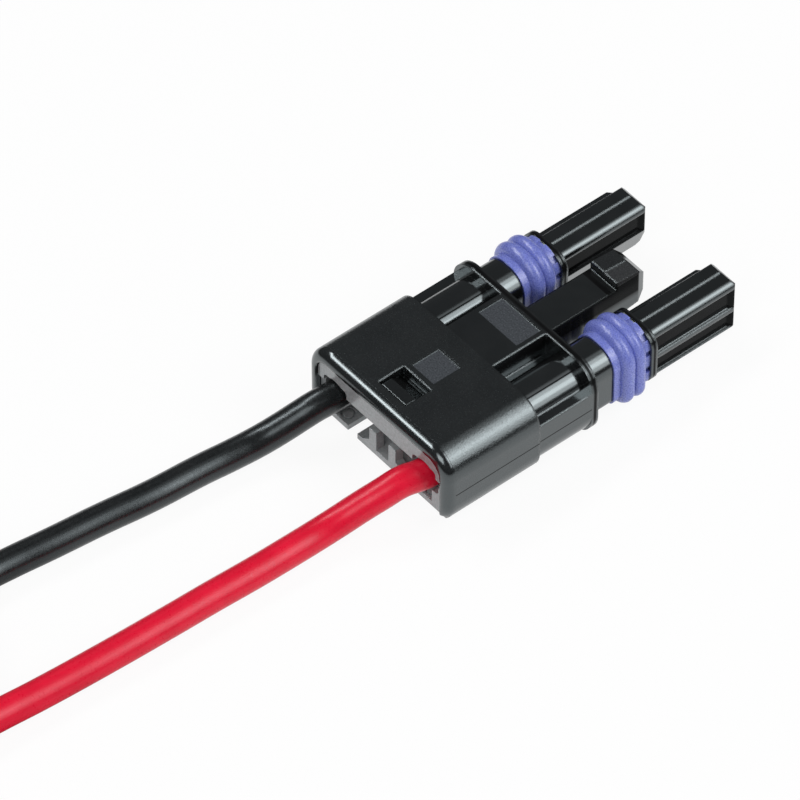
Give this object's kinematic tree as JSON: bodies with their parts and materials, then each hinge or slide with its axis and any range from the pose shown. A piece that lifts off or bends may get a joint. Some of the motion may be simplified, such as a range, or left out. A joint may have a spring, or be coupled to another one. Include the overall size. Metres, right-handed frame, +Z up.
{
  "type": "sealed wire connector",
  "caption": "Small black plug with fingers that carry blue ring seals, a latch arm between them, and red and black leads from its wire end.",
  "frame": {"origin": "under the middle of the connector, on the plane of its underside", "axes": "+Y the way the plug is pushed into its mate, +Z up through the window side, +X to the red lead's side"},
  "size_m": [0.0297, 0.08, 0.0064],
  "materials": {
    "housing_plastic": "satin moulded black with a fine matte grain",
    "retainer_plastic": "satin moulded grey, black on its snap tooth",
    "seal_silicone": "soft satin blue silicone",
    "contact_metal": "tin plated",
    "copper": "bare stranded copper",
    "black_insulation": "satin",
    "red_insulation": "semi-gloss",
    "tie_plastic": "smooth nylon"
  },
  "bodies": {
    "root": {"housing": "housing_plastic", "rear_retainer": "retainer_plastic", "black_ring_seal": "seal_silicone", "red_ring_seal": "seal_silicone", "black_wire_seal": "seal_silicone", "red_wire_seal": "seal_silicone", "black_contact": "contact_metal", "red_contact": "contact_metal", "black_conductor": "copper", "red_conductor": "copper", "black_wire": "black_insulation", "red_wire": "red_insulation", "wire_coil": "black_insulation", "coil_tie": "tie_plastic"}
  },
  "joints": []
}
